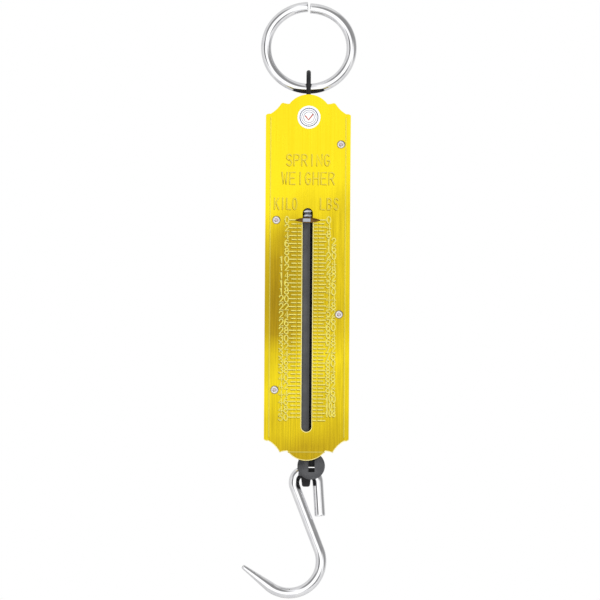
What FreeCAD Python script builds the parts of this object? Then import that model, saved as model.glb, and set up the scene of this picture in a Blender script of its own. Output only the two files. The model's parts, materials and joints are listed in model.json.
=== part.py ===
import FreeCAD, Part
import math
import os

from FreeCAD import Vector

# Hanging spring scale with a flat engraved face, a split ring above and an open hook below.
# Millimetres. +Z is up, the face looks along -Y and +X is to the reader's right.
# The origin is the top of the ring's opening, where the scale hangs from.
# X = 0, Y = 0 is the load line through ring, eye, spring and hook.

# Ring and eye. The ring is a little flattened, so its sides are tighter arcs than its top.
RING_WIDTH = 50.8
RING_HEIGHT = 48.8
RING_WIRE_D = 5.4
RING_SIDE_TIGHTER = 0.8
RING_GAP = 1.1
RING_TO_PLATE = 0.6
EYE_WIRE_D = 2.4
EYE_SPAN = 12.4
EYE_RISE = 13.2
EYE_FOOT_D = 3.4
EYE_FOOT_H = 1.2

# Face plate
PLATE_WIDTH = 45.0
PLATE_HEIGHT = 194.0
SHEET = 1.0
CROWN_RADIUS = 12.6
CROWN_HALF_CHORD = 10.1
PEAK_X = 14.0
PEAK_DROP = 4.2
SHOULDER_X = 20.1
SHOULDER_DROP = 10.4
CORNER_DROP = 11.1
SCOOP_SAG = 0.25
HOLLOW_SAG = 0.65
EAR_BULGE = 0.35
TOP_PEAK_ROUNDING = 1.4
BOTTOM_PEAK_ROUNDING = 0.5
CORNER_ROUNDING = 0.7
SLOT_WIDTH = 5.4
SLOT_ABOVE_ZERO = 6.4
SLOT_BELOW_FULL = 7.6

# Case
CASE_DEPTH = 22.6
TROUGH_HALF = 11.3
FLANGE_HALF = 19.9
FLANGE_INSET = 12.5
TROUGH_INSET = 5.4
BEND_RADIUS = 2.4
YOKE_SHEET = 1.2
YOKE_DROP = 4.4
YOKE_EAR = 11.0
BRACKET_GAP = 0.4
GUIDE_RISE = 4.9
GUIDE_EAR = 9.0

# Rivets: sideways place from the axis and distance below the top of the plate
RIVET_PLACES = ((17.4, 26.4), (-16.6, 66.6), (16.9, 116.4), (-17.0, 156.5))
RIVET_HEAD_D = 4.4
RIVET_HEAD_H = 0.9
RIVET_SHANK_D = 2.5
RIVET_TAIL_D = 3.8
RIVET_TAIL_H = 0.7
STICKER_D = 12.2
STICKER_T = 0.2
STICKER_DROP = 12.1
STICKER_X = 0.3

# Spring
SPRING_WIRE_D = 2.5
SPRING_MEAN_D = 16.4
SPRING_PITCH = 2.6
SPRING_TURNS = 18
SPRING_TOP_DROP = 18.2
LOOP_RADIUS = 4.0
LOOP_OFFSET = 5.0
ANCHOR_PIN_D = 4.0
ANCHOR_HEAD_D = 6.0
ANCHOR_HEAD_H = 0.8

# Sliding bar, pointer and what is fastened to the bar
TRAVEL = 104.5
ZERO_DROP = 66.6
BAR_LEFT = -4.0
BAR_RIGHT = 1.3
BAR_SHEET = 2.0
BAR_BEHIND_FACE = 3.1
BAR_END_DROP = 202.0
TENON_LEFT = -2.4
TENON_H = 1.4
TENON_HEAD_OVER = 0.3
TENON_HEAD_T = 0.5
TENON_HEAD_ROUNDING = 0.3
POINTER_LENGTH = 13.2
POINTER_HEIGHT = 2.6
POINTER_T = 0.8
POINTER_TO_FACE = 0.5
LUG_HALF = 4.0
LUG_SHEET = 1.6
LUG_FLANGE = 4.1
LUG_HOLE_PLAY = 1.4
LUG_HOLE_WALL = 0.9
LUG_TONGUE_OVER = 0.8
LUG_CORNER_RADIUS = 2.4
LUG_BEND_RADIUS = 1.4
SLIDE_CLEARANCE = 0.3

# Stop boss
BOSS_D = 14.6
BOSS_X = 2.7
BOSS_DROP = 196.8
BOSS_BEHIND_PLATE = 0.2
BOSS_DEPTH = 5.6
BOSS_CROWN_RADIUS = 16.0
BOSS_WALL = 1.2
BOSS_WINDOW_W = 3.65
BOSS_WINDOW_H = 6.5
BOSS_PIN_D = 1.3
BOSS_PIN_DROP = 197.6
BOSS_PIN_SHORT = 0.3

# Hook lug and hook
HOOK_LUG_SHEET = 2.0
LUG_RIVET_D = 1.8
LUG_RIVET_TAIL_D = 2.6
LUG_RIVET_X = -2.5
LUG_RIVET_DROPS = (193.2, 200.3)
HOOK_LUG_BELOW_GUIDE = 1.2
HOOK_LUG_WIDE_TO_DROP = 201.0
HOOK_LUG_PAST_WINDOW = 0.8
HOOK_LUG_TIP_DROP = 207.9
HOOK_LUG_TIP_HALF = 2.0
HOOK_LUG_TIP_ROUNDING = 1.2
HOOK_LEG_TIP = 1.4
HOOK_LEG_WALL = 2.2
HOOK_LEG_CHAMFER = 2.0
HOOK_HOLE_D = 6.6
HOOK_WIRE_D = 5.7
HOOK_TOP_DROP = 205.8
HOOK_TOP_RADIUS = 6.3
HOOK_BEND_X = -8.7
HOOK_BEND_DROP = 247.6
HOOK_BEND_RADIUS = 17.0
HOOK_SHORT_LEG = 18.3
HOOK_SHORT_LEAN = 4.0
HOOK_POINT_FROM = 126.5
HOOK_POINT_LENGTH = 18.2
HOOK_POINT_D = 2.2

# Play round a fixed pin or rivet, how far a cutter reaches past the faces it cuts, and how near two
# places are that count as the same
FIT = 0.05
OVER = 1.0
NEAR = 1e-3

# Places worked out from the sizes above
RING_HALF_WIDTH = (RING_WIDTH - RING_WIRE_D) / 2
RING_HALF_HEIGHT = (RING_HEIGHT - RING_WIRE_D) / 2
RING_Z = RING_WIRE_D / 2 - RING_HALF_HEIGHT
PLATE_TOP = RING_Z - RING_HEIGHT / 2 - RING_TO_PLATE
PLATE_BOTTOM = PLATE_TOP - PLATE_HEIGHT
FACE_Y = -CASE_DEPTH / 2
PLATE_BACK_Y = FACE_Y + SHEET
CASE_BACK_Y = CASE_DEPTH / 2
INNER_BACK_Y = CASE_BACK_Y - SHEET
INNER_HALF = TROUGH_HALF - SHEET
BAR_FRONT_Y = FACE_Y + BAR_BEHIND_FACE
BAR_BACK_Y = BAR_FRONT_Y + BAR_SHEET
BAR_MIDDLE = (BAR_LEFT + BAR_RIGHT) / 2
ZERO_Z = PLATE_TOP - ZERO_DROP
SLOT_TOP = ZERO_Z + SLOT_ABOVE_ZERO
SLOT_BOTTOM = ZERO_Z - TRAVEL - SLOT_BELOW_FULL
BRACKET_HALF_Y = -PLATE_BACK_Y - BRACKET_GAP
YOKE_TOP = PLATE_TOP - YOKE_DROP
GUIDE_BOTTOM = PLATE_BOTTOM + GUIDE_RISE
COIL_TOP = PLATE_TOP - SPRING_TOP_DROP
COIL_BOTTOM = COIL_TOP - SPRING_TURNS * SPRING_PITCH
UPPER_LOOP_Z = COIL_TOP + LOOP_OFFSET
LOWER_LOOP_Z = COIL_BOTTOM - LOOP_OFFSET
ANCHOR_Z = UPPER_LOOP_Z + LOOP_RADIUS - SPRING_WIRE_D / 2 - ANCHOR_PIN_D / 2 - FIT
LUG_HOLE_D = SPRING_WIRE_D + LUG_HOLE_PLAY
LUG_HOLE_Z = LOWER_LOOP_Z - LOOP_RADIUS - LUG_HOLE_PLAY / 4
LUG_SHELF_Z = LUG_HOLE_Z - LUG_HOLE_D / 2 - LUG_HOLE_WALL
BOSS_Z = PLATE_TOP - BOSS_DROP
BOSS_PIN_Z = PLATE_TOP - BOSS_PIN_DROP
HOOK_LUG_RIGHT = BOSS_X + BOSS_WINDOW_W / 2 + HOOK_LUG_PAST_WINDOW
HOOK_TOP_Z = PLATE_TOP - HOOK_TOP_DROP
HOOK_HOLE_Z = HOOK_TOP_Z + HOOK_TOP_RADIUS


def box(x0, x1, y0, y1, z0, z1):
    return Part.makeBox(x1 - x0, y1 - y0, z1 - z0, Vector(x0, y0, z0))


def rod(start, direction, diameter, length):
    return Part.makeCylinder(diameter / 2, length, start, direction)


def polygon_prism(points_xz, y0, y1):
    corners = [Vector(x, y0, z) for x, z in points_xz]
    return Part.Face(Part.makePolygon(corners + corners[:1])).extrude(Vector(0, y1 - y0, 0))


def round_edges(solid, radius, chosen):
    edges = [edge for edge in solid.Edges if chosen(edge)]
    return solid.makeFillet(radius, edges)


def runs_along(edge, axis):
    span = edge.BoundBox
    lengths = {"x": span.XLength, "y": span.YLength, "z": span.ZLength}
    return lengths[axis] > NEAR and all(lengths[other] < NEAR for other in lengths if other != axis)


def in_plane(x, z):
    return Vector(x, 0, z)


def on_circle(centre, radius, degrees):
    turn = math.radians(degrees)
    return in_plane(centre.x + radius * math.cos(turn), centre.z + radius * math.sin(turn))


def circle_arc(centre, radius, start, end):
    points = [on_circle(centre, radius, angle) for angle in (start, (start + end) / 2, end)]
    return Part.Arc(*points).toShape()


def round_wire(edges, diameter):
    """A round wire along edges that join smoothly, with flat ends."""
    first = edges[0]
    start = first.valueAt(first.FirstParameter)
    section = Part.makeCircle(diameter / 2, start, first.tangentAt(first.FirstParameter))
    return Part.Wire(edges).makePipeShell([Part.Wire(section)], True, True)


def domed_rivet(x, z, head_y, tail_y):
    """A rivet with a domed head standing in front of head_y and a flat tail behind tail_y."""
    head = RIVET_HEAD_D / 2
    shank = RIVET_SHANK_D / 2
    tail = RIVET_TAIL_D / 2
    end_y = tail_y + RIVET_TAIL_H
    dome_radius = (head ** 2 + RIVET_HEAD_H ** 2) / (2 * RIVET_HEAD_H)
    half_angle = math.asin(head / dome_radius) / 2
    crown_y = head_y - RIVET_HEAD_H
    dome_mid = Vector(x + dome_radius * math.sin(half_angle),
                      crown_y + dome_radius * (1 - math.cos(half_angle)), z)
    crown = Vector(x, crown_y, z)
    rim = Vector(x + head, head_y, z)
    rest = [rim, Vector(x + shank, head_y, z), Vector(x + shank, tail_y, z), Vector(x + tail, tail_y, z),
            Vector(x + tail, end_y, z), Vector(x, end_y, z), crown]
    edges = [Part.Arc(crown, dome_mid, rim).toShape()]
    edges += [Part.makeLine(a, b) for a, b in zip(rest, rest[1:])]
    return Part.Face(Part.Wire(edges)).revolve(Vector(x, 0, z), Vector(0, 1, 0), 360)


def flush_rivet(x, z, tail_y, shank_d, tail_d):
    """A rivet dressed flush with the bar's front, with a flat tail behind tail_y."""
    along_y = Vector(0, 1, 0)
    shank = rod(Vector(x, BAR_FRONT_Y, z), along_y, shank_d, tail_y - BAR_FRONT_Y)
    return shank.fuse(rod(Vector(x, tail_y, z), along_y, tail_d, RIVET_TAIL_H))


def pin_along_x(y, z, half_length, diameter, head_d, head_h):
    """A pin that crosses the case, with a flat head outside each wall."""
    across = Vector(1, 0, 0)
    pin = rod(Vector(-half_length - head_h, y, z), across, diameter, 2 * (half_length + head_h))
    for start in (-half_length - head_h, half_length):
        pin = pin.fuse(rod(Vector(start, y, z), across, head_d, head_h))
    return pin.removeSplitter()


# Ring and eye

def hanging_ring():
    """Round wire bent to a flattened ring of four smooth arcs, with a narrow gap at the top."""
    side_radius = RING_HALF_HEIGHT - RING_SIDE_TIGHTER
    side_x = RING_HALF_WIDTH - side_radius
    flat_radius = ((RING_HALF_WIDTH ** 2 + RING_HALF_HEIGHT ** 2 - 2 * RING_HALF_WIDTH * side_radius)
                   / (2 * RING_SIDE_TIGHTER))
    flat_z = flat_radius - RING_HALF_HEIGHT
    join = math.degrees(math.atan2(flat_z, side_x))
    half_gap = math.degrees(RING_GAP / 2 / flat_radius)
    under, over = in_plane(0, RING_Z - flat_z), in_plane(0, RING_Z + flat_z)
    right, left = in_plane(side_x, RING_Z), in_plane(-side_x, RING_Z)
    return round_wire([
        circle_arc(under, flat_radius, 90 - half_gap, join),
        circle_arc(right, side_radius, join, -join),
        circle_arc(over, flat_radius, -join, join - 180),
        circle_arc(left, side_radius, 180 + join, 180 - join),
        circle_arc(under, flat_radius, 180 - join, 90 + half_gap)], RING_WIRE_D)


def shackle():
    """Wire loop that stands in the plane across the face, with its two feet spread under the yoke."""
    leg = EYE_SPAN / 2
    top = PLATE_TOP + EYE_RISE - EYE_WIRE_D / 2
    bend = top - leg
    foot = YOKE_TOP - YOKE_SHEET
    loop = round_wire([
        Part.makeLine(Vector(0, -leg, foot), Vector(0, -leg, bend)),
        Part.Arc(Vector(0, -leg, bend), Vector(0, 0, top), Vector(0, leg, bend)).toShape(),
        Part.makeLine(Vector(0, leg, bend), Vector(0, leg, foot))], EYE_WIRE_D)
    for side in (-leg, leg):
        loop = loop.fuse(rod(Vector(0, side, foot - EYE_FOOT_H), Vector(0, 0, 1), EYE_FOOT_D, EYE_FOOT_H))
    return loop.removeSplitter()


# Case

def sagging_arc(start, end, sag):
    """Start, middle and end of an arc whose middle lies off its chord, away from the plate's end."""
    across, along = end[0] - start[0], end[1] - start[1]
    chord = math.hypot(across, along)
    middle = ((start[0] + end[0]) / 2 - along / chord * sag, (start[1] + end[1]) / 2 + across / chord * sag)
    return start, middle, end


def plate_outline():
    """Arcs of one end of the plate, as places across and down from the end, repeated all round."""
    rise = CROWN_RADIUS - math.sqrt(CROWN_RADIUS ** 2 - CROWN_HALF_CHORD ** 2)
    half = PLATE_WIDTH / 2
    crown_end = (CROWN_HALF_CHORD, rise)
    peak = (PEAK_X, PEAK_DROP)
    shoulder = (SHOULDER_X, SHOULDER_DROP)
    right_end = [sagging_arc(crown_end, peak, SCOOP_SAG),
                 sagging_arc(peak, shoulder, HOLLOW_SAG),
                 sagging_arc(shoulder, (half, CORNER_DROP), -EAR_BULGE)]
    edges = []
    for end_z, inward in ((PLATE_TOP, -1), (PLATE_BOTTOM, 1)):
        for side in (-1, 1):
            for arc in right_end:
                edges.append(Part.Arc(*[Vector(side * x, FACE_Y, end_z + inward * drop)
                                        for x, drop in arc]).toShape())
        edges.append(Part.Arc(Vector(-CROWN_HALF_CHORD, FACE_Y, end_z + inward * rise),
                              Vector(0, FACE_Y, end_z),
                              Vector(CROWN_HALF_CHORD, FACE_Y, end_z + inward * rise)).toShape())
    for side in (-half, half):
        edges.append(Part.makeLine(Vector(side, FACE_Y, PLATE_TOP - CORNER_DROP),
                                   Vector(side, FACE_Y, PLATE_BOTTOM + CORNER_DROP)))
    return Part.Wire(Part.__sortEdges__(edges))


def slot_cutter():
    radius = SLOT_WIDTH / 2
    top = SLOT_TOP - radius
    bottom = SLOT_BOTTOM + radius
    cutter = box(-radius, radius, FACE_Y - OVER, PLATE_BACK_Y + OVER, bottom, top)
    for z in (top, bottom):
        cutter = cutter.fuse(rod(Vector(0, FACE_Y - OVER, z), Vector(0, 1, 0), SLOT_WIDTH, SHEET + 2 * OVER))
    return cutter


def rivet_holes(from_y, depth):
    holes = [rod(Vector(x, from_y, PLATE_TOP - drop), Vector(0, 1, 0), RIVET_SHANK_D + 2 * FIT, depth)
             for x, drop in RIVET_PLACES]
    return Part.makeCompound(holes)


def face_plate():
    plate = Part.Face(plate_outline()).extrude(Vector(0, SHEET, 0))
    for z, radius in ((PLATE_TOP - PEAK_DROP, TOP_PEAK_ROUNDING),
                      (PLATE_BOTTOM + PEAK_DROP, BOTTOM_PEAK_ROUNDING),
                      (PLATE_TOP - CORNER_DROP, CORNER_ROUNDING),
                      (PLATE_BOTTOM + CORNER_DROP, CORNER_ROUNDING)):
        plate = round_edges(plate, radius, lambda e: runs_along(e, "y") and abs(e.BoundBox.ZMax - z) < NEAR)
    return plate.cut(slot_cutter()).cut(rivet_holes(FACE_Y - OVER, SHEET + 2 * OVER))


def back_case():
    """Hat-shaped pressing: a deep trough for the spring and a flat flange down each side."""
    trough_top = PLATE_TOP - TROUGH_INSET
    trough_bottom = PLATE_BOTTOM + TROUGH_INSET
    flange_top = PLATE_TOP - FLANGE_INSET
    flange_bottom = PLATE_BOTTOM + FLANGE_INSET
    outer = box(-TROUGH_HALF, TROUGH_HALF, PLATE_BACK_Y, CASE_BACK_Y, trough_bottom, trough_top)
    outer = round_edges(outer, BEND_RADIUS, lambda e: runs_along(e, "z") and e.BoundBox.YMax > 0)
    inner = box(-INNER_HALF, INNER_HALF, PLATE_BACK_Y - SHEET, INNER_BACK_Y,
                trough_bottom - OVER, trough_top + OVER)
    inner = round_edges(inner, BEND_RADIUS - SHEET, lambda e: runs_along(e, "z") and e.BoundBox.YMax > 0)
    flange = box(-FLANGE_HALF, FLANGE_HALF, PLATE_BACK_Y, PLATE_BACK_Y + SHEET, flange_bottom, flange_top)
    flange = round_edges(flange, BEND_RADIUS, lambda e: runs_along(e, "y"))
    case = outer.fuse(flange).cut(inner).removeSplitter()
    wall_foot = PLATE_BACK_Y + SHEET
    case = round_edges(case, SHEET, lambda e: runs_along(e, "z")
                       and abs(abs(e.BoundBox.XMax) - TROUGH_HALF) < NEAR
                       and abs(e.BoundBox.YMax - wall_foot) < NEAR)
    case = case.cut(rivet_holes(PLATE_BACK_Y - OVER, SHEET + 2 * OVER))
    across = 2 * (TROUGH_HALF + OVER)
    for z, diameter in ((ANCHOR_Z, ANCHOR_PIN_D), (guide_rivet_z(), RIVET_SHANK_D)):
        case = case.cut(rod(Vector(-across / 2, 0, z), Vector(1, 0, 0), diameter + 2 * FIT, across))
    return case


def case_rivets():
    return Part.makeCompound([
        domed_rivet(x, PLATE_TOP - drop, FACE_Y, PLATE_BACK_Y + SHEET) for x, drop in RIVET_PLACES])


def bent_yoke(wall_low, wall_high, ear_end, hole_z, hole_d):
    """U-shaped bracket across the trough: a flat wall with an ear against each side of the case."""
    half = INNER_HALF - FIT
    low, high = min(wall_low, ear_end), max(wall_high, ear_end)
    block = box(-half, half, -BRACKET_HALF_Y, INNER_BACK_Y - BEND_RADIUS, low, high)
    wall_edge = wall_low if ear_end > wall_high else wall_high
    block = round_edges(block, BEND_RADIUS, lambda e: runs_along(e, "y")
                        and abs(e.BoundBox.ZMax - wall_edge) < NEAR)
    hollow_low, hollow_high = (wall_high, high + OVER) if ear_end > wall_high else (low - OVER, wall_low)
    hollow = box(-half + YOKE_SHEET, half - YOKE_SHEET, -2 * BRACKET_HALF_Y, 2 * BRACKET_HALF_Y,
                 hollow_low, hollow_high)
    inner_edge = hollow_low if ear_end > wall_high else hollow_high
    hollow = round_edges(hollow, BEND_RADIUS - YOKE_SHEET, lambda e: runs_along(e, "y")
                         and abs(e.BoundBox.ZMax - inner_edge) < NEAR)
    hole = rod(Vector(-half - OVER, 0, hole_z), Vector(1, 0, 0), hole_d + 2 * FIT, 2 * (half + OVER))
    return block.cut(hollow).cut(hole)


def top_yoke():
    """Carries the eye on its flat wall and takes the anchor pin through its ears."""
    yoke = bent_yoke(YOKE_TOP - YOKE_SHEET, YOKE_TOP, YOKE_TOP - YOKE_EAR, ANCHOR_Z, ANCHOR_PIN_D)
    for side in (-EYE_SPAN / 2, EYE_SPAN / 2):
        yoke = yoke.cut(rod(Vector(0, side, YOKE_TOP - YOKE_SHEET - OVER), Vector(0, 0, 1),
                            EYE_WIRE_D + 2 * FIT, YOKE_SHEET + 2 * OVER))
    return yoke


def spring_anchor_pin():
    return pin_along_x(0, ANCHOR_Z, TROUGH_HALF, ANCHOR_PIN_D, ANCHOR_HEAD_D, ANCHOR_HEAD_H)


def guide_rivet_z():
    return GUIDE_BOTTOM + GUIDE_EAR / 2


def bottom_guide():
    """Closes the lower end of the case and guides the sliding bar."""
    guide = bent_yoke(GUIDE_BOTTOM, GUIDE_BOTTOM + YOKE_SHEET, GUIDE_BOTTOM + GUIDE_EAR,
                      guide_rivet_z(), RIVET_SHANK_D)
    return guide.cut(box(BAR_LEFT - SLIDE_CLEARANCE, BAR_RIGHT + SLIDE_CLEARANCE,
                         BAR_FRONT_Y - SLIDE_CLEARANCE, BAR_BACK_Y + SLIDE_CLEARANCE,
                         GUIDE_BOTTOM - OVER, GUIDE_BOTTOM + YOKE_SHEET + OVER))


def guide_rivets():
    """One short rivet through each ear of the guide and the side of the case."""
    rivets = []
    z = guide_rivet_z()
    inside = INNER_HALF - FIT - YOKE_SHEET
    for side in (-1, 1):
        across = Vector(side, 0, 0)
        shank = rod(Vector(side * (inside - RIVET_TAIL_H), 0, z), across, RIVET_SHANK_D,
                    TROUGH_HALF - inside + 2 * RIVET_TAIL_H)
        inner_head = rod(Vector(side * (inside - RIVET_TAIL_H), 0, z), across, RIVET_TAIL_D, RIVET_TAIL_H)
        outer_head = rod(Vector(side * TROUGH_HALF, 0, z), across, RIVET_TAIL_D, RIVET_TAIL_H)
        rivets.append(shank.fuse(inner_head).fuse(outer_head).removeSplitter())
    return Part.makeCompound(rivets)


def inspection_sticker():
    return rod(Vector(STICKER_X, FACE_Y - STICKER_T, PLATE_TOP - STICKER_DROP), Vector(0, 1, 0),
               STICKER_D, STICKER_T)


# Spring

def main_spring():
    """Close-wound coil, its ends on the left, with an upright loop over the anchor pin and in the lug."""
    radius = SPRING_MEAN_D / 2
    helix = Part.makeHelix(SPRING_PITCH, SPRING_TURNS * SPRING_PITCH, radius)
    helix.rotate(Vector(0, 0, 0), Vector(0, 0, 1), 180)
    helix.translate(Vector(0, 0, COIL_BOTTOM))
    section = Part.Wire(Part.makeCircle(SPRING_WIRE_D / 2, Vector(-radius, 0, COIL_BOTTOM), Vector(0, 1, 0)))
    spring = Part.Wire(helix.Edges).makePipeShell([section], True, True)
    for coil_z, loop_z in ((COIL_TOP, UPPER_LOOP_Z), (COIL_BOTTOM, LOWER_LOOP_Z)):
        neck_z = loop_z + math.copysign(LOOP_RADIUS, coil_z - loop_z)
        loop = Part.makeTorus(LOOP_RADIUS, SPRING_WIRE_D / 2, Vector(0, 0, loop_z), Vector(1, 0, 0))
        coil_end = Vector(-radius, 0, coil_z)
        reach = coil_end - Vector(0, 0, neck_z)
        neck = rod(Vector(0, 0, neck_z), reach, SPRING_WIRE_D, reach.Length)
        ball = Part.makeSphere(SPRING_WIRE_D / 2, coil_end)
        spring = spring.fuse([loop, neck, ball])
    return spring


# Sliding bar and what it carries

def draw_bar():
    """Flat bar behind the slot. Its top end is turned forward into a tenon that holds the pointer."""
    tenon_top = ZERO_Z + TENON_H / 2
    pointer_front = FACE_Y - POINTER_TO_FACE - POINTER_T
    bar = box(BAR_LEFT, BAR_RIGHT, BAR_FRONT_Y, BAR_BACK_Y, PLATE_TOP - BAR_END_DROP, tenon_top)
    tenon = box(TENON_LEFT, BAR_RIGHT, pointer_front, BAR_FRONT_Y, ZERO_Z - TENON_H / 2, tenon_top)
    head = box(TENON_LEFT - TENON_HEAD_OVER, BAR_RIGHT + TENON_HEAD_OVER,
               pointer_front - TENON_HEAD_T, pointer_front,
               ZERO_Z - TENON_H / 2 - TENON_HEAD_OVER, tenon_top + TENON_HEAD_OVER)
    head = round_edges(head, TENON_HEAD_ROUNDING,
                       lambda e: e.BoundBox.YMax < pointer_front - TENON_HEAD_T / 2)
    bar = bar.fuse(tenon).fuse(head).removeSplitter()
    bar = bar.cut(rod(Vector(BAR_MIDDLE, BAR_FRONT_Y - OVER, spring_lug_rivet_z()), Vector(0, 1, 0),
                      RIVET_SHANK_D + 2 * FIT, BAR_SHEET + 2 * OVER))
    bar = bar.cut(lug_rivet_holes())
    return bar.cut(boss_pin_rod(2 * FIT, BOSS_D))


def lug_rivet_holes():
    return Part.makeCompound([rod(Vector(LUG_RIVET_X, BAR_FRONT_Y - OVER, PLATE_TOP - drop), Vector(0, 1, 0),
                                  LUG_RIVET_D + 2 * FIT, BAR_SHEET + SHEET + 2 * OVER)
                              for drop in LUG_RIVET_DROPS])


def pointer():
    """Thin spindle, pointed at both ends, pushed over the bar's tenon."""
    half = POINTER_LENGTH / 2
    middle = (TENON_LEFT + BAR_RIGHT) / 2
    back_y = FACE_Y - POINTER_TO_FACE
    front_y = back_y - POINTER_T
    ends = [Vector(-half, front_y, ZERO_Z), Vector(half, front_y, ZERO_Z)]
    arcs = [Part.Arc(ends[0], Vector(middle, front_y, ZERO_Z + lift), ends[1]).toShape()
            for lift in (POINTER_HEIGHT / 2, -POINTER_HEIGHT / 2)]
    spindle = Part.Face(Part.Wire(Part.__sortEdges__(arcs))).extrude(Vector(0, POINTER_T, 0))
    mortise = box(TENON_LEFT - FIT, BAR_RIGHT + FIT, front_y - OVER, back_y + OVER,
                  ZERO_Z - TENON_H / 2 - FIT, ZERO_Z + TENON_H / 2 + FIT)
    return spindle.cut(mortise)


def spring_lug_rivet_z():
    return LUG_SHELF_Z - LUG_SHEET - LUG_FLANGE / 2


def spring_lug():
    """Stepped bracket: tongue on the load line for the spring, shelf, and flange on the bar's back."""
    tongue_top = LOWER_LOOP_Z + LUG_TONGUE_OVER
    shelf_bottom = LUG_SHELF_Z - LUG_SHEET
    half_sheet = LUG_SHEET / 2
    tongue = box(-LUG_HALF, LUG_HALF, -half_sheet, half_sheet, shelf_bottom, tongue_top)
    tongue = round_edges(tongue, LUG_CORNER_RADIUS, lambda e: runs_along(e, "y")
                         and abs(e.BoundBox.ZMax - tongue_top) < NEAR)
    shelf = box(-LUG_HALF, LUG_HALF, BAR_BACK_Y, half_sheet, shelf_bottom, LUG_SHELF_Z)
    flange = box(BAR_LEFT, BAR_RIGHT, BAR_BACK_Y, BAR_BACK_Y + LUG_SHEET, shelf_bottom - LUG_FLANGE,
                 LUG_SHELF_Z)
    lug = tongue.fuse(shelf).fuse(flange).removeSplitter()
    lug = round_edges(lug, LUG_BEND_RADIUS, lambda e: runs_along(e, "x") and (
        (abs(e.BoundBox.YMax - half_sheet) < NEAR and abs(e.BoundBox.ZMax - shelf_bottom) < NEAR)
        or (abs(e.BoundBox.YMax - BAR_BACK_Y) < NEAR and abs(e.BoundBox.ZMax - LUG_SHELF_Z) < NEAR)))
    along_y = Vector(0, 1, 0)
    lug = lug.cut(rod(Vector(0, -half_sheet - OVER, LUG_HOLE_Z), along_y, LUG_HOLE_D, LUG_SHEET + 2 * OVER))
    return lug.cut(rod(Vector(BAR_MIDDLE, BAR_BACK_Y - OVER, spring_lug_rivet_z()), along_y,
                       RIVET_SHANK_D + 2 * FIT, LUG_SHEET + 2 * OVER))


def spring_lug_rivet():
    return flush_rivet(BAR_MIDDLE, spring_lug_rivet_z(), BAR_BACK_Y + LUG_SHEET, RIVET_SHANK_D, RIVET_TAIL_D)


def stop_boss():
    """Hollow domed cap on the front of the bar that meets the case's lower end at zero load."""
    radius = BOSS_D / 2
    front_y = PLATE_BACK_Y + BOSS_BEHIND_PLATE
    back_y = front_y + BOSS_DEPTH
    roof_y = BAR_FRONT_Y - 2 * FIT
    inner = radius - BOSS_WALL
    half_angle = math.asin(radius / BOSS_CROWN_RADIUS) / 2
    rim_y = front_y + BOSS_CROWN_RADIUS * (1 - math.cos(2 * half_angle))

    def at(distance, y):
        return Vector(BOSS_X + distance, y, BOSS_Z)

    crown_mid = at(BOSS_CROWN_RADIUS * math.sin(half_angle),
                   front_y + BOSS_CROWN_RADIUS * (1 - math.cos(half_angle)))
    rest = [at(radius, rim_y), at(radius, back_y), at(inner, back_y), at(inner, roof_y), at(0, roof_y),
            at(0, front_y)]
    edges = [Part.Arc(at(0, front_y), crown_mid, at(radius, rim_y)).toShape()]
    edges += [Part.makeLine(a, b) for a, b in zip(rest, rest[1:])]
    cap = Part.Face(Part.Wire(edges)).revolve(at(0, 0), Vector(0, 1, 0), 360)
    low_z, high_z = BOSS_Z - radius - OVER, BOSS_Z + radius + OVER
    window = box(BOSS_X - BOSS_WINDOW_W / 2, BOSS_X + BOSS_WINDOW_W / 2, front_y - OVER, roof_y + OVER,
                 BOSS_Z - BOSS_WINDOW_H / 2, BOSS_Z + BOSS_WINDOW_H / 2)
    bar_way = box(BAR_LEFT - FIT, BAR_RIGHT + FIT, roof_y, back_y + OVER, low_z, high_z)
    lug_way = box(BAR_LEFT - FIT, HOOK_LUG_RIGHT + FIT, BAR_BACK_Y - FIT, back_y + OVER, low_z, high_z)
    return cap.cut(window).cut(bar_way).cut(lug_way).cut(boss_pin_rod(2 * FIT, BOSS_D))


def boss_pin_rod(play, length):
    """Rod along the cross pin's line, through the cap and edgewise through the bar."""
    return rod(Vector(BOSS_X - length / 2, (BAR_FRONT_Y + BAR_BACK_Y) / 2, BOSS_PIN_Z), Vector(1, 0, 0),
               BOSS_PIN_D + play, length)


def boss_pin():
    return boss_pin_rod(0, BOSS_D - 2 * BOSS_PIN_SHORT)


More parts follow.
